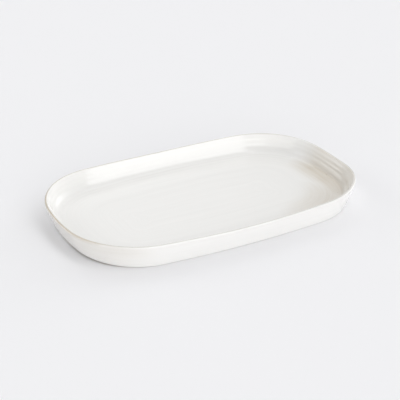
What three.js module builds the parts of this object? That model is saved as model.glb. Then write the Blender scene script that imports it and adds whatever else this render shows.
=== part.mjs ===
// A hand-made stoneware serving plate: a soft rectangle with bowed sides, large round corners,
// a flat floor that is dished up towards its border, and a low wall that flares out to a thin lip.
// One section through the wall is carried round the outline of the lip. The clay body and the
// three coats of glaze that are fired onto it are all lofted from that section.
// Millimetres. +X runs along the plate, +Y across it and +Z up from the table under its foot ring.
import * as THREE from 'three';

// Outline over the lip
const LENGTH = 300;
const WIDTH = 185;
const CORNER_RADIUS = 71;
// Degrees that each long side and each end turns through on its way between two corners
const SIDE_TURN = 11.1;
const END_TURN = 10.5;
// A corner is never so large that less than this is left for half of an end
const LEAST_HALF_END = 4;

// Wall and lip
const RIM_HEIGHT = 22.7;
// The lip stands this much higher at the corners than at the middle of each side
const CORNER_RISE = 1.9;
const LIP_THICKNESS = 2.7;
// Degrees from upright: the lean of the wall's outside, and how much further the inside leans
const WALL_LEAN = 21;
const WALL_TAPER = 2.5;
const COVE_RADIUS = 11;

// Floor and foot: around the flat middle, the floor's border is dished up by an arc that ends at
// the cove with this slope, in degrees
const FLOOR_CLAY = 3.8;
const DISH_WIDTH = 27;
const DISH_SLOPE = 6;
const FOOT_HEIGHT = 0.2;
const FOOT_SET_IN = 0.4;
const FOOT_WIDTH = 6;
const RECESS_DEPTH = 0.8;
const RECESS_RAMP = 1.2;

// Glaze: the coats' thickness, the bare line left along the crown of the lip, and the bare
// margin between the recess's ramp and the coat under the floor
const GLAZE = 0.4;
const BARE_LIP = 1.2;
const BARE_MARGIN = 1;

// Facets along each arc of the outline and of the section
const SIDE_STEPS = 5;
const CORNER_STEPS = 10;
const END_STEPS = 3;
const LIP_STEPS = 3;
const COVE_STEPS = 7;
const DISH_STEPS = 3;

const CLAY_COLOUR = 0xc3ae90;
const GLAZE_COLOUR = 0xf1efea;

const radians = THREE.MathUtils.degToRad;
const polar = (centre, reach, angle) => new THREE.Vector2(
  centre.x + reach * Math.cos(angle),
  centre.y + reach * Math.sin(angle),
);

// Outline: in each quarter half an end's arc, a corner's arc and half a long side's arc, each
// tangent to the next. The centres follow from the half length, the half width and the turns.
const halfLength = LENGTH / 2;
const halfWidth = WIDTH / 2;
const cornerRadius = Math.min(CORNER_RADIUS, halfWidth - LEAST_HALF_END);
const sideTurn = radians(SIDE_TURN / 2);
const endTurn = radians(END_TURN / 2);

function quarterArcs() {
  const across = halfWidth - cornerRadius;
  const along = halfLength - cornerRadius;
  const sideDrop = 1 - Math.cos(sideTurn);
  const endDrop = 1 - Math.cos(endTurn);
  const determinant = Math.sin(endTurn) * Math.sin(sideTurn) - sideDrop * endDrop;
  const endRadius = cornerRadius + (across * Math.sin(sideTurn) - along * sideDrop) / determinant;
  const sideRadius = cornerRadius + (along * Math.sin(endTurn) - across * endDrop) / determinant;
  const endCentre = new THREE.Vector2(halfLength - endRadius, 0);
  const sideCentre = new THREE.Vector2(0, halfWidth - sideRadius);
  const cornerCentre = polar(endCentre, endRadius - cornerRadius, endTurn);
  const cornerEnd = Math.PI / 2 - sideTurn;
  return [
    { centre: endCentre, radius: endRadius, from: 0, to: endTurn, steps: END_STEPS },
    { centre: cornerCentre, radius: cornerRadius, from: endTurn, to: cornerEnd, steps: CORNER_STEPS },
    { centre: sideCentre, radius: sideRadius, from: cornerEnd, to: Math.PI / 2, steps: SIDE_STEPS },
  ];
}

// A station is a place on the outline: an arc's centre and radius, and the way out from it.
// Its lift is the share of the corner rise there, from 0 at mid side to 1 at the corner.
function station(arc, angle) {
  const point = polar(arc.centre, arc.radius, angle);
  const bearing = Math.atan2(point.y / halfWidth, point.x / halfLength);
  return { centre: arc.centre, radius: arc.radius, angle, lift: (1 - Math.cos(4 * bearing)) / 2 };
}

// A quarter of the outline runs from the middle of an end to the middle of a long side. Its mirror
// image completes half of the outline, and half a turn of that completes the rest.
function outlineStations() {
  const arcs = quarterArcs();
  const quarter = arcs.flatMap((arc) => Array.from({ length: arc.steps }, (_, step) => (
    station(arc, THREE.MathUtils.lerp(arc.from, arc.to, step / arc.steps))
  )));
  const middle = station(arcs.at(-1), arcs.at(-1).to);
  const mirrored = quarter.slice(1).reverse().map((place) => ({
    ...place,
    centre: new THREE.Vector2(-place.centre.x, place.centre.y),
    angle: Math.PI - place.angle,
  }));
  const half = [...quarter, middle, ...mirrored];
  const turned = half.map((place) => ({
    ...place,
    centre: place.centre.clone().negate(),
    angle: place.angle + Math.PI,
  }));
  return [...half, ...turned];
}

const stations = outlineStations();

// Section: x is the distance in from the outline of the lip, and y is the height. Each face is
// worked out for a coat from 0, the clay, to GLAZE, the finished surface over it.
const lean = radians(WALL_LEAN);
const innerLean = radians(WALL_LEAN + WALL_TAPER);
const lipRadius = LIP_THICKNESS / 2;
const lipCentre = new THREE.Vector2(lipRadius, RIM_HEIGHT - lipRadius);
const floorTop = RECESS_DEPTH + FLOOR_CLAY + GLAZE;
const bareTurn = BARE_LIP / 2 / lipRadius;
const lipInside = polar(lipCentre, lipRadius, lean);
const dishSlope = radians(DISH_SLOPE);
const dishRadius = DISH_WIDTH / Math.sin(dishSlope);
const dishRise = dishRadius * (1 - Math.cos(dishSlope));
const coveHeight = floorTop + dishRise + COVE_RADIUS * Math.cos(dishSlope);
const coveReach = COVE_RADIUS - (coveHeight - lipInside.y) * Math.sin(innerLean);
const coveCentre = new THREE.Vector2(lipInside.x + coveReach / Math.cos(innerLean), coveHeight);
const coveToe = 1.5 * Math.PI - dishSlope;
const dishCentre = polar(coveCentre, COVE_RADIUS - dishRadius, coveToe);

// The lip is half an ellipse set on the leaning wall: the coats are full at its two sides and
// thin out towards the crown, where finished surface and clay meet.
function lipArc(coat, from, to, steps) {
  const across = lipRadius - GLAZE + coat;
  const curve = new THREE.EllipseCurve(
    lipCentre.x, lipCentre.y, across, lipRadius, from, to, to < from, lean,
  );
  return curve.getPoints(steps);
}

// Arc of the inside, given for the finished surface: the clay under a coat lies further out
function insideArc(coat, centre, radius, from, to, steps) {
  const reach = radius + GLAZE - coat;
  return new THREE.EllipseCurve(centre.x, centre.y, reach, reach, from, to).getPoints(steps);
}

function insideFace(coat) {
  const lip = lipArc(coat, Math.PI / 2 - bareTurn, 0, LIP_STEPS);
  const cove = insideArc(coat, coveCentre, COVE_RADIUS, Math.PI + innerLean, coveToe, COVE_STEPS);
  const dish = insideArc(coat, dishCentre, dishRadius, coveToe, 1.5 * Math.PI, DISH_STEPS);
  return [...lip, ...cove, ...dish.slice(1)];
}

function outsideFace(coat) {
  const lip = lipArc(coat, Math.PI / 2 + bareTurn, Math.PI, LIP_STEPS);
  const top = lip.at(-1);
  const foot = new THREE.Vector2(top.x + (top.y - FOOT_HEIGHT) * Math.tan(lean), FOOT_HEIGHT);
  return [...lip, foot];
}

const wallFoot = outsideFace(0).at(-1).x;
const footOutside = wallFoot + FOOT_SET_IN;
const footInside = footOutside + FOOT_WIDTH;
const recessEdge = footInside + RECESS_RAMP;

// A ring is the outline moved in to one point of the section. Above the floor it is stretched
// upwards by the lift of each station.
function ring(point) {
  const share = THREE.MathUtils.clamp((point.y - floorTop) / (RIM_HEIGHT - floorTop), 0, 1);
  return stations.map((place) => {
    const { x, y } = polar(place.centre, place.radius - point.x, place.angle);
    return new THREE.Vector3(x, y, point.y + CORNER_RISE * share * place.lift);
  });
}

// Loft of a section. A section that closes on itself makes a hoop. Any other starts and ends on
// a flat face, which is filled from its middle. Each facet is split from the ring nearer the
// outline, whichever way the section runs, so that clay and glaze share every edge they meet on.
function loft(section, isHoop) {
  const rings = section.map(ring);
  const count = stations.length;
  const points = rings.flat();
  const faces = [];
  const bands = isHoop ? rings.length : rings.length - 1;
  for (let band = 0; band < bands; band += 1) {
    const after = (band + 1) % rings.length;
    const low = band * count;
    const high = after * count;
    const turnsIn = section[after].x > section[band].x;
    for (let i = 0; i < count; i += 1) {
      const next = (i + 1) % count;
      if (turnsIn) {
        faces.push(low + i, low + next, high + next, low + i, high + next, high + i);
      } else {
        faces.push(low + i, low + next, high + i, low + next, high + next, high + i);
      }
    }
  }
  if (!isHoop) {
    const last = points.length - count;
    const under = points.push(new THREE.Vector3(0, 0, section[0].y)) - 1;
    const over = points.push(new THREE.Vector3(0, 0, section.at(-1).y)) - 1;
    for (let i = 0; i < count; i += 1) {
      const next = (i + 1) % count;
      faces.push(under, next, i, over, last + i, last + next);
    }
  }
  const geometry = new THREE.BufferGeometry().setFromPoints(points);
  geometry.setIndex(faces);
  geometry.computeVertexNormals();
  return geometry;
}

function piece(name, geometry, material) {
  const mesh = new THREE.Mesh(geometry, material);
  mesh.name = name;
  return mesh;
}

const glazeMaterial = () => new THREE.MeshStandardMaterial({
  color: GLAZE_COLOUR, roughness: 0.12, metalness: 0,
});

// Clay body: recess, foot ring, bevel, outside of the wall, crown of the lip, inside, floor
function stonewareBody() {
  const underside = [
    new THREE.Vector2(recessEdge, RECESS_DEPTH),
    new THREE.Vector2(footInside, 0),
    new THREE.Vector2(footOutside, 0),
  ];
  const crown = lipArc(0, Math.PI / 2 + bareTurn, Math.PI / 2 - bareTurn, 2).slice(1, -1);
  const section = [...underside, ...outsideFace(0).reverse(), ...crown, ...insideFace(0)];
  const clay = new THREE.MeshStandardMaterial({ color: CLAY_COLOUR, roughness: 0.8, metalness: 0 });
  return piece('stoneware_body', loft(section, false), clay);
}

// Coat poured inside: it lines the floor and the wall up to the bare line on the lip
function insideGlaze() {
  const section = [...insideFace(0).reverse(), ...insideFace(GLAZE)];
  return piece('inside_glaze', loft(section, false), glazeMaterial());
}

// Coat on the outside: from the bare line on the lip down to the bevel above the foot ring
function outsideGlaze() {
  const section = [...outsideFace(GLAZE).reverse(), ...outsideFace(0)];
  return piece('outside_glaze', loft(section, true), glazeMaterial());
}

// Coat in the shallow recess inside the foot ring
function undersideGlaze() {
  const edge = recessEdge + BARE_MARGIN;
  const section = [
    new THREE.Vector2(edge, RECESS_DEPTH - GLAZE),
    new THREE.Vector2(edge, RECESS_DEPTH),
  ];
  return piece('underside_glaze', loft(section, false), glazeMaterial());
}

const plate = new THREE.Group();
plate.add(stonewareBody(), insideGlaze(), outsideGlaze(), undersideGlaze());

export default plate;
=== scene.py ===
# %% [markdown]
# # An oblong stoneware serving plate
# The plate is one piece of fired clay with a white glaze on it, inside, outside and under its
# floor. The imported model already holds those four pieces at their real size, but as flat facets.
# This lesson makes each of them again as a smooth, slightly uneven, hand-made surface, gives the
# clay and the glaze their finish, and photographs the plate on a pale floor.

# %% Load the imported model
import math

import bmesh
import bpy
from mathutils import Matrix, Vector, noise


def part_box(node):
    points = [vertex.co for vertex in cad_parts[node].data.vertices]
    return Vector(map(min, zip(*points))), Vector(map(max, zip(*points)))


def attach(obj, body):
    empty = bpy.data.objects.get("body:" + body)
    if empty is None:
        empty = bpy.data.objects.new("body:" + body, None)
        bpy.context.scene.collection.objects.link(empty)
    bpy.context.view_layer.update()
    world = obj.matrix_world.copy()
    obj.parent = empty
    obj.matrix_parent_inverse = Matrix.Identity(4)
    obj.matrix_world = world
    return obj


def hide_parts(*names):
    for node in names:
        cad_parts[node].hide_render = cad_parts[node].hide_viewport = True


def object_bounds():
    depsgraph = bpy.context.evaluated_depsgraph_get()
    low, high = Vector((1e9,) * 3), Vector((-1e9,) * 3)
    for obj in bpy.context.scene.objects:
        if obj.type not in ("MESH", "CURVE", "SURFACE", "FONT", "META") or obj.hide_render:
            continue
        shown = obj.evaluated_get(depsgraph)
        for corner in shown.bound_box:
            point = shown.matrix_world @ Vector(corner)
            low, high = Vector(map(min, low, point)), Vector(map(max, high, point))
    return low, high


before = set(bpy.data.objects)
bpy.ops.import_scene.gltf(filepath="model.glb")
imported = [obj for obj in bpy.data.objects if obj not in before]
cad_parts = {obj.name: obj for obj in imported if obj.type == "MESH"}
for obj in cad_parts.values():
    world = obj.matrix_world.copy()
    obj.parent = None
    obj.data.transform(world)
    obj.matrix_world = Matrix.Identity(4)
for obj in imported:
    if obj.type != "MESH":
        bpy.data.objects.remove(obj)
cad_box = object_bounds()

print("nodes:", sorted(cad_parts), "box:", [list(corner) for corner in cad_box])

# %% [markdown]
# ## Sizes
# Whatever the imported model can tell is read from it: the outline's length and width, the height of
# the lip, and how deep the glaze lies on the clay. Sizes that only the potter knew are written in
# millimetres, in the cell that first needs them, and scaled there to Blender's metres. The new
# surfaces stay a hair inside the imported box, so the plate never grows.

# %% Sizes of the plate
MM = 0.001
HAIR = 0.02 * MM
CORNER_RISE = 1.9 * MM

recess_low, recess_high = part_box("underside_glaze")
GLAZE = recess_high.z - recess_low.z
RECESS_DEPTH = recess_high.z
RECESS_HALF_LENGTH = recess_high.x
FOOT_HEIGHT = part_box("outside_glaze")[0].z
CLAY_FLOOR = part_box("inside_glaze")[0].z
FLOOR_TOP = CLAY_FLOOR + GLAZE
HALF_LENGTH = cad_box[1].x - HAIR
HALF_WIDTH = cad_box[1].y - HAIR
RIM_HEIGHT = cad_box[1].z - CORNER_RISE - HAIR / 2
print(f"plate {2 * HALF_LENGTH / MM:.1f} x {2 * HALF_WIDTH / MM:.1f} mm, floor at {FLOOR_TOP / MM:.1f} mm")

# %% [markdown]
# ## The outline, as a list of turns
# Seen from above, the lip is eight arcs, each tangent to the next: two bowed ends, two bowed sides
# and four corners. It could be a curve object, but an arc is a turn about a centre, and a turn is
# what the spin operator makes, so the outline is kept as a list of turns. The radii of the bowed
# arcs follow from the plate's length and width, by two equations that say where a corner's arc has
# to end.

# %% Radii and centres of the outline
CORNER_RADIUS = 71 * MM
SIDE_TURN = math.radians(11.1)
END_TURN = math.radians(10.5)
CORNER_TURN = math.pi / 2 - SIDE_TURN / 2 - END_TURN / 2


def bowed_radii():
    across = HALF_WIDTH - CORNER_RADIUS
    along = HALF_LENGTH - CORNER_RADIUS
    side_sine = math.sin(SIDE_TURN / 2)
    side_drop = 1 - math.cos(SIDE_TURN / 2)
    end_sine = math.sin(END_TURN / 2)
    end_drop = 1 - math.cos(END_TURN / 2)
    share = side_sine * end_sine - side_drop * end_drop
    end_radius = CORNER_RADIUS + (across * side_sine - along * side_drop) / share
    side_radius = CORNER_RADIUS + (along * end_sine - across * end_drop) / share
    return end_radius, side_radius


END_RADIUS, SIDE_RADIUS = bowed_radii()
END_CENTRE = Vector((HALF_LENGTH - END_RADIUS, 0, 0))
SIDE_CENTRE = Vector((0, HALF_WIDTH - SIDE_RADIUS, 0))
corner_way = Vector((math.cos(END_TURN / 2), math.sin(END_TURN / 2), 0))
CORNER_CENTRE = END_CENTRE + (END_RADIUS - CORNER_RADIUS) * corner_way
print(f"ends bow on {END_RADIUS / MM:.0f} mm, sides on {SIDE_RADIUS / MM:.0f} mm")

# %% [markdown]
# ## Once round
# The plate mirrors itself along and across, so three centres and their mirror images serve all
# eight arcs. Each turn gets its own number of steps: many on the long sides and on the tight
# corners, fewer on the ends. The first end is cut in two, because the round starts at its middle.

# %% Turns of the outline
SIDE_STEPS = 60
CORNER_STEPS = 40
END_STEPS = 18


def outline_turns():
    """The turns that carry the section once round, from the middle of the end at +X."""
    def flipped(centre, x, y):
        return Vector((centre.x * x, centre.y * y, 0))

    half_end = (END_TURN / 2, END_STEPS // 2)
    corner = (CORNER_TURN, CORNER_STEPS)
    return [
        (END_CENTRE, *half_end),
        (CORNER_CENTRE, *corner),
        (SIDE_CENTRE, SIDE_TURN, SIDE_STEPS),
        (flipped(CORNER_CENTRE, -1, 1), *corner),
        (flipped(END_CENTRE, -1, 1), END_TURN, END_STEPS),
        (flipped(CORNER_CENTRE, -1, -1), *corner),
        (flipped(SIDE_CENTRE, 1, -1), SIDE_TURN, SIDE_STEPS),
        (flipped(CORNER_CENTRE, 1, -1), *corner),
        (END_CENTRE, *half_end),
    ]


print("once round in", sum(steps for centre, turn, steps in outline_turns()), "steps")

# %% [markdown]
# ## The section and its arcs
# A cut through the wall shows a round lip, a wall that leans out, a cove, and a floor whose border
# is dished. The section stands in the upright plane through the end at +X, where going in from the
# lip is going towards -X. Every arc is tangent to its neighbours, so the centres are worked out
# from the lip downwards, and nothing has to be fitted by eye.

# %% Centres of the section's arcs
LIP_RADIUS = 1.35 * MM
OUTER_LEAN = math.radians(21)
INNER_LEAN = math.radians(23.5)
COVE_RADIUS = 11 * MM
DISH_WIDTH = 27 * MM
DISH_TILT = math.radians(6)

LIP_CENTRE = Vector((HALF_LENGTH - LIP_RADIUS, 0, RIM_HEIGHT - LIP_RADIUS))
INWARD_ON_LIP = Vector((-math.cos(OUTER_LEAN), 0, math.sin(OUTER_LEAN)))
lip_inside = LIP_CENTRE + LIP_RADIUS * INWARD_ON_LIP
DISH_RADIUS = DISH_WIDTH / math.sin(DISH_TILT)
dish_top = FLOOR_TOP + DISH_RADIUS * (1 - math.cos(DISH_TILT))
cove_height = dish_top + COVE_RADIUS * math.cos(DISH_TILT)
above_lip = (cove_height - lip_inside.z) * math.sin(INNER_LEAN)
cove_reach = (COVE_RADIUS - above_lip) / math.cos(INNER_LEAN)
COVE_CENTRE = Vector((lip_inside.x - cove_reach, 0, cove_height))
dish_end = COVE_CENTRE.x + COVE_RADIUS * math.sin(DISH_TILT) - DISH_WIDTH
DISH_CENTRE = Vector((dish_end, 0, FLOOR_TOP + DISH_RADIUS))
print(f"lip {2 * LIP_RADIUS / MM:.1f} mm thick, floor flat to {dish_end / MM:.0f} mm from the middle")

# %% [markdown]
# ## Drawing with a pen
# A vertex is the pen: spinning it about a point draws an arc, and extruding it in steps draws a
# straight line. A stroke is a chain of edges, so its vertices can be read in order afterwards. The
# lip is drawn as a round and then squeezed across the wall where its clay has to be thinner.

# %% Pen strokes
def on_circle(centre, radius, angle):
    """A point of the section. The angle turns from inward, at 0, to upward, at a quarter turn."""
    return centre + radius * Vector((-math.cos(angle), 0, math.sin(angle)))


def draw_arc(bm, pen, centre, turn, steps):
    made = bmesh.ops.spin(bm, geom=[pen], cent=centre, axis=(0, 1, 0), angle=turn, steps=steps)
    return made["geom_last"][0]


def draw_line(bm, pen, finish, steps):
    stride = (finish - pen.co) / steps
    for _ in range(steps):
        next_place = pen.co + stride
        pen = bmesh.ops.extrude_vert_indiv(bm, verts=[pen])["verts"][0]
        pen.co = next_place
    return pen


def in_order(start):
    """The vertices of an open stroke, from one end to the other."""
    stroke = [start]
    while True:
        ahead = [edge.other_vert(stroke[-1]) for edge in stroke[-1].link_edges]
        ahead = [vert for vert in ahead if vert not in stroke[-2:]]
        if not ahead:
            return stroke
        stroke.append(ahead[0])


def draw_lip(bm, coat, first, last, steps):
    """Part of the lip: a round under a full coat, squeezed across the wall to bare its clay."""
    start = bm.verts.new(on_circle(LIP_CENTRE, LIP_RADIUS, first + OUTER_LEAN))
    pen = draw_arc(bm, start, LIP_CENTRE, last - first, steps)
    squeeze = Matrix.Scale((LIP_RADIUS - GLAZE + coat) / LIP_RADIUS, 4, INWARD_ON_LIP)
    about_lip = Matrix.Translation(LIP_CENTRE) @ squeeze @ Matrix.Translation(-LIP_CENTRE)
    bmesh.ops.transform(bm, matrix=about_lip, verts=in_order(start))
    return start, pen


print("strokes:", [stroke.__name__ for stroke in (draw_arc, draw_line, draw_lip)])

# %% [markdown]
# ## The inside and the outside of the wall
# Two strokes make the wall. Both start beside the crown of the lip, where a narrow line of clay
# stays bare. The same stroke with a coat of 0 gives the clay and with a full coat the finished
# glaze, so the two always fit. What lies hidden between them needs only a few steps.

# %% Strokes of the wall
BARE_LIP = 1.2 * MM
BARE_TURN = BARE_LIP / 2 / LIP_RADIUS
CROWN = math.pi / 2
HIDDEN_OUTSIDE = {"lip_steps": 3, "wall_steps": 4}
HIDDEN_INSIDE = {**HIDDEN_OUTSIDE, "cove_steps": 8, "dish_steps": 6}


def draw_inside(bm, coat, lip_steps, wall_steps, cove_steps, dish_steps):
    """From the bare line on the lip, down the wall and round the cove to the floor."""
    start, pen = draw_lip(bm, coat, CROWN - BARE_TURN, 0, lip_steps)
    cove_top = on_circle(COVE_CENTRE, COVE_RADIUS + GLAZE - coat, math.pi + INNER_LEAN)
    pen = draw_line(bm, pen, cove_top, wall_steps)
    pen = draw_arc(bm, pen, COVE_CENTRE, math.pi / 2 - INNER_LEAN - DISH_TILT, cove_steps)
    draw_arc(bm, pen, DISH_CENTRE, DISH_TILT, dish_steps)
    return in_order(start)


def draw_outside(bm, coat, lip_steps, wall_steps):
    """From the bare line on the lip, down the outside of the wall to the bevel."""
    start, pen = draw_lip(bm, coat, CROWN + BARE_TURN, math.pi, lip_steps)
    wall_foot = pen.co - Vector((math.tan(OUTER_LEAN), 0, 1)) * (pen.co.z - FOOT_HEIGHT)
    draw_line(bm, pen, wall_foot, wall_steps)
    return in_order(start)


print(f"bare line on the lip: {BARE_LIP / MM:.1f} mm, wall ends {FOOT_HEIGHT / MM:.2f} mm above the table")

# %% [markdown]
# ## Carrying the section round
# Each turn of the outline is one spin of the section. Spin hands back its last copy, which the next
# turn starts from, and after the last turn the seam is merged. Two layers travel along with every
# copy: how far a vertex lies from the lip along the section, and whether it is on the finished
# surface or against the clay. The glaze uses them later.

# %% Layers and sweep
SEAM = 0.02 * MM


def blank_section():
    bm = bmesh.new()
    for layer in ("run", "finished"):
        bm.verts.layers.float.new(layer)
    return bm


def label(bm, stroke, is_finished):
    """Stores the run from the lip on each vertex of a stroke, and on which side it lies."""
    run = bm.verts.layers.float["run"]
    finished = bm.verts.layers.float["finished"]
    stroke[0][run] = BARE_LIP / 2
    stroke[0][finished] = is_finished
    for before, vert in zip(stroke, stroke[1:]):
        vert[run] = before[run] + (vert.co - before.co).length
        vert[finished] = is_finished


def sweep(bm):
    section = bm.verts[:] + bm.edges[:]
    for centre, turn, steps in outline_turns():
        made = bmesh.ops.spin(bm, geom=section, cent=centre, axis=(0, 0, 1), angle=turn, steps=steps)
        section = made["geom_last"]
    bmesh.ops.remove_doubles(bm, verts=bm.verts, dist=SEAM)


print(f"vertices closer than {SEAM / MM:.2f} mm are merged at the seam")

# %% [markdown]
# ## Closing the floor and raising the corners
# The sweep leaves the middle of the floor open. One large face would close it, but the rings that
# the potter left on the floor need vertices to move, so the open loop is extruded inwards, ring
# after ring, to a spine along the middle. The corners of the lip stand a little higher than the
# sides, so the wall is stretched upwards towards them.

# %% Floor rings and corner rise
def open_loop(bm, height):
    """The open edges that lie at one height."""
    edges = [edge for edge in bm.edges if edge.is_boundary]
    return [edge for edge in edges if all(abs(vert.co.z - height) < SEAM for vert in edge.verts)]


def draw_floor(bm, height, rings):
    """Rings that close in on the spine along the middle of the floor."""
    run = bm.verts.layers.float["run"]
    edges = open_loop(bm, height)
    reach = max(vert.co.y for edge in edges for vert in edge.verts)
    spine = max(vert.co.x for edge in edges for vert in edge.verts) - reach
    for ring in range(rings, 0, -1):
        made = bmesh.ops.extrude_edge_only(bm, edges=edges)["geom"]
        edges = [item for item in made if isinstance(item, bmesh.types.BMEdge)]
        for vert in [item for item in made if isinstance(item, bmesh.types.BMVert)]:
            middle = Vector((max(-spine, min(spine, vert.co.x)), 0, height))
            vert[run] += (vert.co - middle).length / ring
            vert.co = middle + (vert.co - middle) * (ring - 1) / ring
    bmesh.ops.remove_doubles(bm, verts=bm.verts, dist=SEAM)


def clamped(share):
    return max(0, min(1, share))


def raise_corners(bm):
    """Stretches the wall upwards towards the corners, as the potter's pull left it."""
    for vert in bm.verts:
        share = clamped((vert.co.z - FLOOR_TOP) / (RIM_HEIGHT - FLOOR_TOP))
        bearing = math.atan2(vert.co.y / HALF_WIDTH, vert.co.x / HALF_LENGTH)
        vert.co.z += CORNER_RISE * share * (1 - math.cos(4 * bearing)) / 2


print(f"lip {RIM_HEIGHT / MM:.1f} mm high at mid side, {CORNER_RISE / MM:.1f} mm more at the corners")

# %% [markdown]
# ## A corner that stands off the table
# Few hand-made plates stand quite flat. This one is a millimetre or two off the table at its near
# left corner, which leaves a dark line under the glaze there. Turning the whole plate would lift
# all of it, so every piece goes through the same soft push, which fades out with height and with
# distance, and pieces that touch go on touching.

# %% Lift one corner of the foot
LIFTED_CORNER = Vector((-140, -32)) * MM
LIFT = 1.7 * MM
LIFT_SPREAD = 37 * MM
LIFT_REACH = 4.5 * MM


def lift_foot(bm):
    for vert in bm.verts:
        away = (vert.co.xy - LIFTED_CORNER).length / LIFT_SPREAD
        share = max(0, 1 - vert.co.z / LIFT_REACH)
        vert.co.z += LIFT * share ** 2 * math.exp(-away * away)


print(f"foot lifted by up to {LIFT / MM:.1f} mm, within {LIFT_REACH / MM:.1f} mm of the table")

# %% [markdown]
# ## Traces of the hand
# Fingers leave shallow rings inside the wall, and on the floor a few faint ones that follow the
# outline. They are less than a tenth of a millimetre deep, but a glossy surface shows them, so they
# are real moves of the mesh and not only a bump in the glaze. The noise that varies them has no
# random part that would change from one run to the next.

# %% Throwing rings
RING_PITCH = 4.6 * MM
RING_DEPTH = 0.07 * MM
FLOOR_RING_PITCH = 13 * MM
FLOOR_RING_DEPTH = 0.03 * MM
WALL_RINGS_END = 23.2 * MM
FLOOR_RINGS_START = 34.8 * MM
SMOOTH_LIP = 4 * MM
DRIFT = 1.5
DRIFT_LENGTH = 60 * MM
PRESSURE = 0.6
PRESSURE_SWING = 0.4
PRESSURE_LENGTH = 35 * MM
PRESSURE_SHIFT = Vector((7, 3, 1))


def throwing_rings(bm):
    run = bm.verts.layers.float["run"]
    finished = bm.verts.layers.float["finished"]
    bm.normal_update()
    for vert in [vert for vert in bm.verts if vert[finished]]:
        drift = noise.noise(vert.co / DRIFT_LENGTH) * DRIFT
        wall_ring = RING_DEPTH * math.sin(vert[run] / RING_PITCH * math.tau + drift)
        floor_ring = FLOOR_RING_DEPTH * math.sin(vert[run] / FLOOR_RING_PITCH * math.tau + drift)
        on_floor = clamped((vert[run] - WALL_RINGS_END) / (FLOOR_RINGS_START - WALL_RINGS_END))
        depth = wall_ring * (1 - on_floor) + floor_ring * on_floor
        swing = noise.noise(vert.co / PRESSURE_LENGTH + PRESSURE_SHIFT)
        pressed = PRESSURE + PRESSURE_SWING * swing
        vert.co += vert.normal * depth * pressed * clamped(vert[run] / SMOOTH_LIP)


print(f"rings every {RING_PITCH / MM:.1f} mm on the wall, every {FLOOR_RING_PITCH / MM:.0f} mm on the floor")

# %% [markdown]
# ## Making a piece from its mesh
# Every piece ends the same way: its faces are turned outwards, edges sharper than a soft fold are kept
# sharp, it is tied to the model's one body, and the imported node it stands for is hidden. The mesh keeps
# its place in its own vertices, so the object sits at the origin.

# %% From mesh to piece
SHARP = math.radians(50)


def make_piece(bm, name, node):
    lift_foot(bm)
    bmesh.ops.recalc_face_normals(bm, faces=bm.faces)
    mesh = bpy.data.meshes.new(name)
    bm.to_mesh(mesh)
    bm.free()
    mesh.shade_smooth()
    mesh.set_sharp_from_angle(angle=SHARP)
    piece = bpy.data.objects.new(name, mesh)
    bpy.context.scene.collection.objects.link(piece)
    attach(piece, "root")
    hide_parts(node)
    print(f"{name}: {len(mesh.vertices)} vertices, {len(mesh.polygons)} faces")
    return piece


print(f"edges over {math.degrees(SHARP):.0f} degrees stay sharp")

# %% [markdown]
# ## Inside glaze
# The glaze poured inside lines the floor, the cove and the wall. It could be a sheet thickened by a
# Solidify modifier, but a real coat thins out to nothing much at the lip. So its section is two
# strokes, one finished and one against the clay, joined by a short blunt edge at the lip. Both stay
# open at the floor: the finished one is closed by rings, the hidden one by one face.

# %% Make the inside glaze
def make_inside_glaze():
    bm = blank_section()
    surface = draw_inside(bm, GLAZE, lip_steps=6, wall_steps=26, cove_steps=22, dish_steps=24)
    against_clay = draw_inside(bm, 0, **HIDDEN_INSIDE)
    label(bm, surface, 1)
    label(bm, against_clay, 0)
    bm.edges.new((surface[0], against_clay[0]))
    sweep(bm)
    draw_floor(bm, FLOOR_TOP, rings=24)
    bmesh.ops.holes_fill(bm, edges=open_loop(bm, CLAY_FLOOR), sides=0)
    bmesh.ops.recalc_face_normals(bm, faces=bm.faces)
    throwing_rings(bm)
    raise_corners(bm)
    return make_piece(bm, "well_glaze", "inside_glaze")


well_glaze = make_inside_glaze()

# %% [markdown]
# ## Outside glaze
# The outside of the wall is glazed in a step of its own, so its coat is a piece of its own. It could
# be a copy of the clay's wall, swollen a little, but then it wouldn't thin out at the lip. Here it is
# a hoop: its two strokes are joined at the lip and again above the foot, so nothing is left open when
# the section has gone round.

# %% Make the outside glaze
def make_outside_glaze():
    bm = blank_section()
    surface = draw_outside(bm, GLAZE, lip_steps=6, wall_steps=26)
    against_clay = draw_outside(bm, 0, **HIDDEN_OUTSIDE)
    label(bm, surface, 1)
    label(bm, against_clay, 0)
    bm.edges.new((surface[0], against_clay[0]))
    bm.edges.new((surface[-1], against_clay[-1]))
    sweep(bm)
    raise_corners(bm)
    return make_piece(bm, "wall_glaze", "outside_glaze")


wall_glaze = make_outside_glaze()

# %% [markdown]
# ## Clay body
# The clay shows in two places: the narrow line along the crown of the lip, where the glaze has run
# thin, and the bevel and foot ring underneath, which are wiped clean so that the plate doesn't stick
# to the kiln shelf. It could be cut out of a solid block, but the strokes that the glaze lies on are
# there already. The section goes on from the foot of the wall to the recess under the floor.

# %% Make the clay body
FOOT_SET_IN = 0.4 * MM
FOOT_WIDTH = 6 * MM
RECESS_RAMP = 1.2 * MM
CROWN_STEPS = 6


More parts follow.
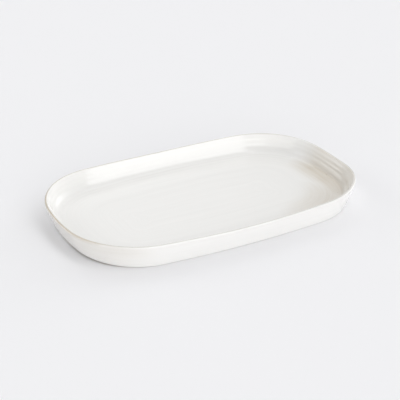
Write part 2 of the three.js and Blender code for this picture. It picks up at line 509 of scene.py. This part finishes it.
def make_clay():
    bm = blank_section()
    outside = draw_outside(bm, 0, **HIDDEN_OUTSIDE)
    inside = draw_inside(bm, 0, **HIDDEN_INSIDE)
    pen = outside[-1]
    for step, height in ((FOOT_SET_IN, 0), (FOOT_WIDTH, 0), (RECESS_RAMP, RECESS_DEPTH)):
        pen = draw_line(bm, pen, Vector((pen.co.x - step, 0, height)), 1)
    draw_lip(bm, 0, CROWN + BARE_TURN, CROWN - BARE_TURN, CROWN_STEPS)
    label(bm, in_order(outside[0]), 0)
    label(bm, inside, 0)
    bmesh.ops.remove_doubles(bm, verts=bm.verts, dist=SEAM)
    sweep(bm)
    for height in (CLAY_FLOOR, RECESS_DEPTH):
        bmesh.ops.holes_fill(bm, edges=open_loop(bm, height), sides=0)
    raise_corners(bm)
    return make_piece(bm, "clay", "stoneware_body")


clay = make_clay()

# %% [markdown]
# ## Underside glaze
# A thin coat fills the middle of the recess. Nobody sees it until the plate is turned over. A flat
# disc would do, but the recess has the plate's own outline, so one short upright edge is swept
# round it and closed above and below.

# %% Make the underside glaze
def make_underside_glaze():
    bm = blank_section()
    lower = bm.verts.new((RECESS_HALF_LENGTH, 0, RECESS_DEPTH - GLAZE))
    upper = bm.verts.new((RECESS_HALF_LENGTH, 0, RECESS_DEPTH))
    bm.edges.new((lower, upper))
    label(bm, [lower, upper], 1)
    sweep(bm)
    for height in (RECESS_DEPTH - GLAZE, RECESS_DEPTH):
        bmesh.ops.holes_fill(bm, edges=open_loop(bm, height), sides=0)
    return make_piece(bm, "recess_glaze", "underside_glaze")


recess_glaze = make_underside_glaze()

# %% [markdown]
# ## A few words for node trees
# A finish is a tree of shader nodes. A few small helpers keep the trees short to write. One places
# a node and fills its sockets with values or links. Others do a sum, multiply several values, take
# a share from 1, or ease from 0 to 1 between two values. Lengths in the trees are in millimetres,
# like the sizes above.

# %% Helpers for node trees
def place(tree, kind, inputs, **settings):
    node = tree.nodes.new("ShaderNode" + kind)
    for setting, value in settings.items():
        setattr(node, setting, value)
    for socket, value in inputs.items():
        if isinstance(value, bpy.types.NodeSocket):
            tree.links.new(value, node.inputs[socket])
        else:
            node.inputs[socket].default_value = value
    return node


def sum_of(tree, operation, first, second=0.0):
    return place(tree, "Math", {0: first, 1: second}, operation=operation).outputs["Value"]


def product(tree, first, *others):
    for other in others:
        first = sum_of(tree, "MULTIPLY", first, other)
    return first


def rest_of(tree, share):
    """What a share leaves of 1."""
    return sum_of(tree, "SUBTRACT", 1, share)


def eases(tree, value, low, high):
    limits = {"Value": value, "From Min": low, "From Max": high}
    return place(tree, "MapRange", limits, interpolation_type="SMOOTHSTEP").outputs["Result"]


def place_in_mm(tree):
    where = place(tree, "TexCoord", {}).outputs["Object"]
    scaled = place(tree, "VectorMath", {0: where, "Scale": 1 / MM}, operation="SCALE")
    return scaled.outputs["Vector"]


def run_in_mm(tree):
    """The run from the lip, which the sweep stored on the mesh."""
    stored = place(tree, "Attribute", {}, attribute_name="run").outputs["Fac"]
    return product(tree, stored, 1 / MM)


print("helpers:", [helper.__name__ for helper in (place, sum_of, product, rest_of, eases)])

# %% [markdown]
# ## Groups
# A group is a piece of tree with named sockets. An effect that several finishes share is built once
# as a group, and each finish places it with its own values.

# %% Helpers for groups
def new_group(name, inputs, outputs):
    group = bpy.data.node_groups.new(name, "ShaderNodeTree")
    for socket, value in inputs.items():
        made = group.interface.new_socket(socket, in_out="INPUT", socket_type="NodeSocketFloat")
        made.default_value = value
    for socket in outputs:
        group.interface.new_socket(socket, in_out="OUTPUT", socket_type="NodeSocketFloat")
    given = group.nodes.new("NodeGroupInput").outputs
    result = group.nodes.new("NodeGroupOutput").inputs
    return group, given, result


def use_group(tree, group, values):
    node = tree.nodes.new("ShaderNodeGroup")
    node.node_tree = group
    for socket, value in values.items():
        node.inputs[socket].default_value = value
    return node.outputs


print("groups so far:", len(bpy.data.node_groups))

# %% [markdown]
# ## Streaks that follow the rings
# The glaze lies a little thicker in the grooves that the fingers left, so its tone changes in long,
# narrow streaks that run round the plate. Noise makes such streaks when it is stretched: its first
# two numbers are the place on the plate over a long length, and its third is the run from the lip
# over a short spacing.

# %% Group of ring streaks
GLAZE_STREAKS = {"Spacing": 2.4, "Length": 90}
STREAK_LOW = 0.25
STREAK_HIGH = 0.75


def make_ring_streaks():
    group, given, result = new_group("ring_streaks", GLAZE_STREAKS, ["Streak"])
    axes = place(group, "SeparateXYZ", {"Vector": place_in_mm(group)}).outputs
    stretched = {
        "X": sum_of(group, "DIVIDE", axes["X"], given["Length"]),
        "Y": sum_of(group, "DIVIDE", axes["Y"], given["Length"]),
        "Z": sum_of(group, "DIVIDE", run_in_mm(group), given["Spacing"]),
    }
    vector = place(group, "CombineXYZ", stretched).outputs["Vector"]
    streaks = place(group, "TexNoise", {"Vector": vector, "Scale": 1, "Detail": 2}).outputs["Fac"]
    group.links.new(eases(group, streaks, STREAK_LOW, STREAK_HIGH), result["Streak"])
    return group


ring_streaks = make_ring_streaks()
print("group:", ring_streaks.name)

# %% [markdown]
# ## Thin glaze along the lip
# White glaze over buff clay shows the clay's warmth wherever it is thin. It runs off the lip in the kiln:
# most at the left end and hardly at all elsewhere. Along the far side the mask also makes the lip buff and
# darker. A picture could be painted round the lip, but a mask worked out from each point's place and its run
# from the lip fits the mesh by itself. Noise makes its border wander, as poured glaze does.

# %% Mask of the lip
WANDER = 16
WANDER_SIZE = 26
LIP_WANDER = 0.08
LIP_THINNEST = 0.3
LIP_LEAST = 0.05
LEFT_END_FROM = -122
LEFT_END_TO = -146
FAR_SIDE_FROM = 40
FAR_SIDE_TO = 85
FAR_SIDE_SHARE = 0.7


def wandering(tree, where):
    """Noise about 0, in millimetres, that shifts the border of a mask."""
    wanted = {"Vector": where, "Scale": 1 / WANDER_SIZE, "Detail": 3}
    cloud = place(tree, "TexNoise", wanted).outputs["Fac"]
    return product(tree, sum_of(tree, "SUBTRACT", cloud, 0.5), WANDER)


def lip_mask(tree, reach, where, run, wander):
    axes = place(tree, "SeparateXYZ", {"Vector": where}).outputs
    from_lip = sum_of(tree, "ADD", run, product(tree, wander, LIP_WANDER))
    near_lip = rest_of(tree, eases(tree, from_lip, LIP_THINNEST, reach))
    length = sum_of(tree, "ADD", axes["X"], wander)
    left_end = eases(tree, length, LEFT_END_FROM, LEFT_END_TO)
    # Along the far side the lip is made buff and darker as well.
    far_side = eases(tree, axes["Y"], FAR_SIDE_FROM, FAR_SIDE_TO)
    lip_by_place = sum_of(tree, "MAXIMUM", left_end, product(tree, far_side, FAR_SIDE_SHARE))
    weight = sum_of(tree, "ADD", product(tree, lip_by_place, 1 - LIP_LEAST), LIP_LEAST)
    return product(tree, near_lip, weight)


print(f"lip thin beyond {LEFT_END_FROM} mm at the left end and {FAR_SIDE_FROM} mm at the far side")

# %% [markdown]
# ## Thin patches
# Less glaze was poured at the right end, so its wall and its cove are buff too. The same mask also paints
# shade on the near right corner of the floor, where the walls cast a shadow, as a darker patch with a little
# buff in it. A patch lies between two distances along the plate, fades to both sides and ends at a run from
# the lip. It can be turned about the plate's middle, and it can be weaker near the lip than lower down. One
# mask serves every patch, because only its values differ.

# %% Mask of a patch
PATCH_EDGE = 16
RUN_WANDER = 0.5
UPPER_RUN = 8
LOWER_RUN = 26
EVEN_SHARE = 0.75
STREAK_SHARE = 0.35
PATCH_STREAKS = {"Spacing": 3, "Length": 60}


def patch_mask(tree, given, where, run, wander):
    turning = {"Vector": where, "Angle": given["Patch Turn"]}
    turned = place(tree, "VectorRotate", turning, rotation_type="Z_AXIS").outputs["Vector"]
    axes = place(tree, "SeparateXYZ", {"Vector": turned}).outputs
    length = sum_of(tree, "ADD", axes["X"], wander)
    along = eases(tree, length, given["Patch From"], given["Patch To"])
    off_middle = sum_of(tree, "SUBTRACT", axes["Y"], given["Patch Middle"])
    aside = sum_of(tree, "ADD", sum_of(tree, "ABSOLUTE", off_middle), wander)
    inner = sum_of(tree, "SUBTRACT", given["Patch Half Width"], PATCH_EDGE)
    outer = sum_of(tree, "ADD", given["Patch Half Width"], PATCH_EDGE)
    across = rest_of(tree, eases(tree, aside, inner, outer))
    run_down = sum_of(tree, "ADD", run, product(tree, wander, RUN_WANDER))
    down = rest_of(tree, eases(tree, run_down, given["Patch Run From"], given["Patch Run To"]))
    lower = eases(tree, run_down, UPPER_RUN, LOWER_RUN)
    from_lip = {"Value": lower, "To Min": given["Patch At Lip"], "To Max": 1}
    strength = place(tree, "MapRange", from_lip).outputs["Result"]
    streak = use_group(tree, ring_streaks, PATCH_STREAKS)["Streak"]
    uneven = sum_of(tree, "ADD", product(tree, streak, STREAK_SHARE), EVEN_SHARE)
    return product(tree, along, across, down, strength, uneven)


print(f"patches fade over {2 * PATCH_EDGE} mm, with a border that wanders by {WANDER / 2:.0f} mm")

# %% [markdown]
# ## One group of thin glaze
# The lip and the patch go into one group, because inside, outside and bare clay all need them. A patch is
# thin glaze, except on the near right corner of the inside's floor, where it is painted shade. The thinner
# of the two wins at each point. Distances are in millimetres, and a share of 0 leaves the lip or the patch
# out.

# %% Group of thin glaze
THIN_SOCKETS = {
    "Lip Share": 0.5, "Lip Reach": 2,
    "Patch Share": 0.5, "Patch At Lip": 1, "Patch Turn": 0,
    "Patch From": 100, "Patch To": 130,
    "Patch Middle": 0, "Patch Half Width": 45,
    "Patch Run From": 12, "Patch Run To": 24,
}


def make_thin_glaze():
    group, given, result = new_group("thin_glaze_and_shade", THIN_SOCKETS, ["Thin"])
    where = place_in_mm(group)
    run = run_in_mm(group)
    wander = wandering(group, where)
    lip = lip_mask(group, given["Lip Reach"], where, run, wander)
    lip = product(group, lip, given["Lip Share"])
    patch = patch_mask(group, given, where, run, wander)
    patch = product(group, patch, given["Patch Share"])
    group.links.new(sum_of(group, "MAXIMUM", lip, patch), result["Thin"])
    return group


thin_glaze_and_shade = make_thin_glaze()
print("group:", thin_glaze_and_shade.name, "sockets:", [socket.name for socket in thin_glaze_and_shade.interface.items_tree])

# %% [markdown]
# ## Grain of the clay
# Stoneware holds fine sand and a few specks of iron. The sand gives a bare foot its rough feel and
# its uneven tone, and the specks bleed faintly through thin glaze, so clay and glaze share the group.

# %% Group of stoneware grain
CLOUDS_PER_MM = 0.06
SPECK_CORE = 0.05
SPECK_EDGE = 0.11


def make_stoneware_grain():
    sockets = {"Sand": 0.5, "Specks Apart": 4}
    group, given, result = new_group("stoneware_grain", sockets, ["Tone", "Speck", "Height"])
    where = place_in_mm(group)
    sand_scale = sum_of(group, "DIVIDE", 1, given["Sand"])
    sand = place(group, "TexNoise", {"Vector": where, "Scale": sand_scale, "Detail": 4}).outputs["Fac"]
    clouds = {"Vector": where, "Scale": CLOUDS_PER_MM, "Detail": 3}
    cloud = place(group, "TexNoise", clouds).outputs["Fac"]
    speck_scale = sum_of(group, "DIVIDE", 1, given["Specks Apart"])
    spots = place(group, "TexVoronoi", {"Vector": where, "Scale": speck_scale}).outputs["Distance"]
    group.links.new(product(group, sum_of(group, "ADD", sand, cloud), 0.5), result["Tone"])
    group.links.new(rest_of(group, eases(group, spots, SPECK_CORE, SPECK_EDGE)), result["Speck"])
    group.links.new(sand, result["Height"])
    return group


stoneware_grain = make_stoneware_grain()
print("group:", stoneware_grain.name)

# %% [markdown]
# ## Colour and bump
# Clay and glaze are opaque, so one surface shader serves each of them. What differs is the colour,
# which is mixed from a few plain ones, and the fine relief, which is too small for the mesh and goes
# into the shader as a bump.

# %% Helpers for materials
MIX_FIRST = 6
MIX_SECOND = 7
MIX_RESULT = 2


def new_material(name):
    material = bpy.data.materials.new(name)
    material.use_nodes = True
    return material, material.node_tree.nodes["Principled BSDF"]


def mixed(tree, share, first, second):
    """Two colours mixed. The node's colour sockets come after its plain and its vector ones."""
    inputs = {"Factor": share, MIX_FIRST: first, MIX_SECOND: second}
    return place(tree, "Mix", inputs, data_type="RGBA").outputs[MIX_RESULT]


def bumped(tree, height, distance):
    bump = place(tree, "Bump", {"Height": height, "Distance": distance, "Strength": 1})
    return bump.outputs["Normal"]


print("materials so far:", len(bpy.data.materials))

# %% [markdown]
# ## White glaze
# The glaze is a glossy warm white. Its colour goes to buff with the thin mask and dips a little with
# the streaks and specks. Its gloss is a little duller where it is thin, and a very low, wide bump
# keeps reflections from looking machine-made. A glass layer over a clay colour would come closer to
# the real build-up, but this glaze is opaque, so one glossy surface shows the same.

# %% A glaze material
WHITE = (0.868, 0.862, 0.845, 1)
POOLED_WHITE = (0.852, 0.847, 0.83, 1)
BUFF = (0.615, 0.553, 0.457, 1)
SPECK_BROWN = (0.30, 0.21, 0.13, 1)
GLAZE_GRAIN = {"Sand": 0.8, "Specks Apart": 7}
GLAZE_SPECKS = 0.35
GLAZE_ROUGHNESS = 0.06
DULLED_BY_STREAK = 0.03
DULLED_BY_THIN = 0.12
SWELLS_PER_MM = 0.11
SWELL_HEIGHT = 0.025 * MM
GLAZE_IOR = 1.6


def make_glaze(name, first, *others):
    """A coat of glaze. Each set of values places the group of thin glaze and painted shade once."""
    material, shader = new_material(name)
    tree = material.node_tree
    thin = use_group(tree, thin_glaze_and_shade, first)["Thin"]
    for values in others:
        thin = sum_of(tree, "MAXIMUM", use_group(tree, thin_glaze_and_shade, values)["Thin"], thin)
    streak = use_group(tree, ring_streaks, GLAZE_STREAKS)["Streak"]
    grain = use_group(tree, stoneware_grain, GLAZE_GRAIN)
    colour = mixed(tree, streak, WHITE, POOLED_WHITE)
    # For the inside coat this mask also paints shade on the near right corner of the floor.
    colour = mixed(tree, thin, colour, BUFF)
    colour = mixed(tree, product(tree, grain["Speck"], thin, GLAZE_SPECKS), colour, SPECK_BROWN)
    tree.links.new(colour, shader.inputs["Base Color"])

    by_streak = product(tree, streak, DULLED_BY_STREAK)
    by_thin = product(tree, thin, DULLED_BY_THIN)
    dulled = sum_of(tree, "ADD", by_streak, by_thin)
    tree.links.new(sum_of(tree, "ADD", dulled, GLAZE_ROUGHNESS), shader.inputs["Roughness"])
    swells = {"Vector": place_in_mm(tree), "Scale": SWELLS_PER_MM, "Detail": 1}
    swell = place(tree, "TexNoise", swells).outputs["Fac"]
    tree.links.new(bumped(tree, swell, SWELL_HEIGHT), shader.inputs["Normal"])
    shader.inputs["IOR"].default_value = GLAZE_IOR
    return material


print("specks at most", GLAZE_SPECKS, "brown, roughness from", GLAZE_ROUGHNESS)

# %% [markdown]
# ## Each coat's own glaze
# The inside is thin along the lip and on the wall and cove of the right end. A second, turned patch paints
# shade on the near right corner of the floor, with a little buff in it. The outside is thin along the lip
# and faintly down the wall at the left end. The underside is even.

# %% Glaze the three coats
INSIDE_THIN = {
    "Lip Share": 0.55, "Lip Reach": 2.4,
    "Patch Share": 0.92, "Patch At Lip": 0.56,
    "Patch From": 98, "Patch To": 128,
    "Patch Middle": -15, "Patch Half Width": 42,
    "Patch Run From": 20, "Patch Run To": 50,
}
# Painted shade: the near right corner of the floor, where its walls cast a shadow, darkened with a little
# buff.
NEAR_CORNER_PAINTED_SHADE = {
    "Lip Share": 0,
    "Patch Share": 0.55, "Patch At Lip": 0.3, "Patch Turn": math.radians(49),
    "Patch From": 70, "Patch To": 110,
    "Patch Middle": 45, "Patch Half Width": 70,
    "Patch Run From": 70, "Patch Run To": 95,
}
OUTSIDE_THIN = {
    "Lip Share": 0.6, "Lip Reach": 6.5,
    "Patch Share": 0.26,
    "Patch From": -84, "Patch To": -128,
    "Patch Half Width": 140,
    "Patch Run From": 4, "Patch Run To": 30,
}
UNDERSIDE_THIN = {"Lip Share": 0, "Patch Share": 0}

well_glaze.data.materials.append(make_glaze("well_glaze", INSIDE_THIN, NEAR_CORNER_PAINTED_SHADE))
wall_glaze.data.materials.append(make_glaze("wall_glaze", OUTSIDE_THIN))
recess_glaze.data.materials.append(make_glaze("recess_glaze", UNDERSIDE_THIN))
print("finishes:", [piece.data.materials[0].name for piece in (well_glaze, wall_glaze, recess_glaze)])

# %% [markdown]
# ## Bare stoneware
# Fired clay without glaze is a matt buff with sand in it. The crown of the lip keeps a breath of glaze, so
# the clay is mixed there with a pale film. The film is least where the lip mask is strongest: at the left
# end, where the glaze ran off most, and along the far side, where the crown is made darker. The film could
# be one more thin piece, but it has no thickness to speak of, so it is part of the finish.

# %% Bare stoneware
CLAY_BUFF = (0.545, 0.423, 0.279, 1)
CLAY_DARK = (0.43, 0.33, 0.215, 1)
PALE_FILM = (0.66, 0.645, 0.61, 1)
LEAST_FILM = 0.38
CLAY_GRAIN = {"Sand": 0.35, "Specks Apart": 2.6}
CLAY_SPECKS = 0.6
CROWN_THIN = {"Lip Share": 1, "Lip Reach": 4, "Patch Share": 0}
FILM_FROM = 2
FILM_TO = 4
CLAY_ROUGHNESS = 0.85
FILM_GLOSS = 0.6
SAND_HEIGHT = 0.06 * MM


def make_stoneware():
    material, shader = new_material("bare_stoneware")
    tree = material.node_tree
    grain = use_group(tree, stoneware_grain, CLAY_GRAIN)
    colour = mixed(tree, grain["Tone"], CLAY_BUFF, CLAY_DARK)
    colour = mixed(tree, product(tree, grain["Speck"], CLAY_SPECKS), colour, SPECK_BROWN)
    thin = use_group(tree, thin_glaze_and_shade, CROWN_THIN)["Thin"]
    on_crown = rest_of(tree, eases(tree, run_in_mm(tree), FILM_FROM, FILM_TO))
    film = product(tree, on_crown, rest_of(tree, product(tree, thin, 1 - LEAST_FILM)))
    tree.links.new(mixed(tree, film, colour, PALE_FILM), shader.inputs["Base Color"])
    matt = sum_of(tree, "SUBTRACT", CLAY_ROUGHNESS, product(tree, film, FILM_GLOSS))
    tree.links.new(matt, shader.inputs["Roughness"])
    sand = product(tree, grain["Height"], rest_of(tree, film))
    tree.links.new(bumped(tree, sand, SAND_HEIGHT), shader.inputs["Normal"])
    return material


clay.data.materials.append(make_stoneware())
print("finish:", clay.data.materials[0].name)

# %% [markdown]
# ## Floor
# A plain pale floor, much larger than the plate, takes the plate's soft shadow. Its colour is the
# pale grey of the background, and it has no gloss. A curved backdrop could be modelled, but a flat
# floor that runs out of the picture on all sides looks the same.

# %% Make the floor
FLOOR_HALF_WIDTH = 6
FLOOR_GAP = 0.02 * MM
PALE_GREY = (0.88, 0.88, 0.896, 1)


def make_floor():
    bm = bmesh.new()
    bmesh.ops.create_grid(bm, x_segments=1, y_segments=1, size=FLOOR_HALF_WIDTH)
    bmesh.ops.translate(bm, verts=bm.verts, vec=(0, 0, -FLOOR_GAP))
    mesh = bpy.data.meshes.new("floor")
    bm.to_mesh(mesh)
    bm.free()
    floor = bpy.data.objects.new("floor", mesh)
    bpy.context.scene.collection.objects.link(floor)
    material, shader = new_material("pale_floor")
    shader.inputs["Base Color"].default_value = PALE_GREY
    shader.inputs["Roughness"].default_value = 1
    shader.inputs["Specular IOR Level"].default_value = 0
    mesh.materials.append(material)
    return floor


floor = make_floor()
print(f"{floor.name}: {floor.dimensions.x:.0f} m wide")

# %% [markdown]
# ## Light from the world
# The plate stands in a light tent, with soft light all round it. The lights could be area lamps.
# Painted on the world instead, they are infinitely far away, so the floor is lit evenly and the
# background stays one tone. A bearing is counted from the front towards the right and a height from
# the horizon, both in degrees.

# %% The world as a light tent
world = bpy.data.worlds.new("light_tent")
bpy.context.scene.world = world
world.use_nodes = True
sky = world.node_tree
background = sky.nodes["Background"]
background.inputs["Color"].default_value = (1, 1, 1, 1)
ray = place(sky, "TexCoord", {}).outputs["Generated"]


def way_to(bearing, height):
    turn = math.radians(bearing)
    tilt = math.radians(height)
    level = Vector((math.sin(turn), -math.cos(turn), 0))
    return level * math.cos(tilt) + Vector((0, 0, math.sin(tilt)))


def towards(direction):
    """How far a ray points in a direction, from 1 along it to -1 against it."""
    return place(sky, "VectorMath", {0: ray, 1: direction}, operation="DOT_PRODUCT").outputs["Value"]


print("the front lies towards", list(way_to(0, 0)), "and the right towards", list(way_to(90, 0)))

# %% [markdown]
# ## Panels and glows
# A window or a reflector board has straight edges, which a glossy wall mirrors, so it is a flat
# panel. A lamp behind cloth has no edge, so it is a round glow. Either is a mask over the
# directions of the sky, worked out from how far a ray points towards the light.

# %% Panels and glows
PANEL_EDGE = 0.012
LEAST_AHEAD = 0.001
SHOWN_FROM = 0.01
SHOWN_TO = 0.03


def between(value, low, high):
    inside = eases(sky, value, low - PANEL_EDGE, low + PANEL_EDGE)
    beyond = eases(sky, value, high - PANEL_EDGE, high + PANEL_EDGE)
    return product(sky, inside, rest_of(sky, beyond))


def light_panel(aim, across, up, brightness):
    """A flat panel that faces the plate, with its reach as tangents of angles from its aim."""
    bearing, height = aim
    ahead = sum_of(sky, "MAXIMUM", towards(way_to(bearing, height)), LEAST_AHEAD)
    sideways = sum_of(sky, "DIVIDE", towards(way_to(bearing + 90, 0)), ahead)
    upwards = sum_of(sky, "DIVIDE", towards(way_to(bearing, height + 90)), ahead)
    shown = eases(sky, ahead, SHOWN_FROM, SHOWN_TO)
    return product(sky, shown, between(sideways, *across), between(upwards, *up), brightness)


def light_glow(aim, tightness, brightness):
    """A round glow, brightest in the middle, as a soft light behind cloth."""
    facing = sum_of(sky, "MAXIMUM", towards(way_to(*aim)), 0)
    return product(sky, sum_of(sky, "POWER", facing, tightness), brightness)


print(f"panels fade out over {2 * PANEL_EDGE:.3f} of their distance")

# %% [markdown]
# ## The lights of the tent
# A tall strip of window light in front is what the far wall mirrors as a bright band. Two low
# reflectors and a wide one above them fill the near side. Glows stand for the ceiling, the back,
# the backdrop and what comes from both sides, and a little light comes from everywhere.

# %% Lights of the tent
AMBIENT = 0.036
PANELS = {
    "window": {"aim": (-28, 18), "across": (0.53, 1.6), "up": (-0.22, 7), "brightness": 2.3},
    "low_front": {"aim": (-18.5, 5), "across": (-0.335, 0.335), "up": (-0.2, 0.16), "brightness": 3.8},
    "low_left": {"aim": (-58.5, 4), "across": (-0.39, 0.39), "up": (-0.18, 0.18), "brightness": 1.4},
    "wide_above": {"aim": (-45, 23), "across": (-0.9, 0.9), "up": (-0.16, 0.3), "brightness": 1.05},
}
GLOWS = {
    "ceiling": {"aim": (110, 70), "tightness": 8, "brightness": 0.32},
    "ceiling_back": {"aim": (-170, 75), "tightness": 8, "brightness": 0.42},
    "back_light": {"aim": (158, 47), "tightness": 14, "brightness": 1.8},
    "back_low": {"aim": (165, 11), "tightness": 14, "brightness": 0.38},
    "backdrop": {"aim": (-145, 13), "tightness": 24, "brightness": 2.5},
    "right_front": {"aim": (52, 18), "tightness": 8, "brightness": 0.45},
    "right_high": {"aim": (84, 40), "tightness": 14, "brightness": 0.36},
    "right_low": {"aim": (105, 12), "tightness": 12, "brightness": 2.6},
    "left_back": {"aim": (-115, 30), "tightness": 14, "brightness": 1.35},
}

light = AMBIENT
for panel in PANELS.values():
    light = sum_of(sky, "ADD", light_panel(**panel), light)
for glow in GLOWS.values():
    light = sum_of(sky, "ADD", light_glow(**glow), light)
sky.links.new(light, background.inputs["Strength"])
print("lights:", list(PANELS) + list(GLOWS))

# %% [markdown]
# ## Camera
# The camera looks down on one corner of the plate from about 27 degrees above the table and 29
# degrees to the left of square on. A long lens from a metre away keeps the far side nearly as large
# as the near one. Its place is in millimetres from the middle of the plate.

# %% Camera
CAMERA_PLACE = Vector((-502.6, -909.2, 528.3)) * MM
CAMERA_TARGET = Vector((-0.9, 4.0, 6.7)) * MM
LENS = 108.93
SENSOR_WIDTH = 36
sight = CAMERA_TARGET - CAMERA_PLACE
camera_data = bpy.data.cameras.new("camera")
camera_data.lens = LENS
camera_data.sensor_width = SENSOR_WIDTH
camera = bpy.data.objects.new("camera", camera_data)
camera.location = CAMERA_PLACE
camera.rotation_euler = sight.to_track_quat("-Z", "Y").to_euler()
bpy.context.scene.collection.objects.link(camera)
bpy.context.scene.camera = camera
bpy.context.scene.view_settings.view_transform = "Standard"
print(f"camera {sight.length:.2f} m away, {math.degrees(math.asin(-sight.normalized().z)):.0f} degrees up")
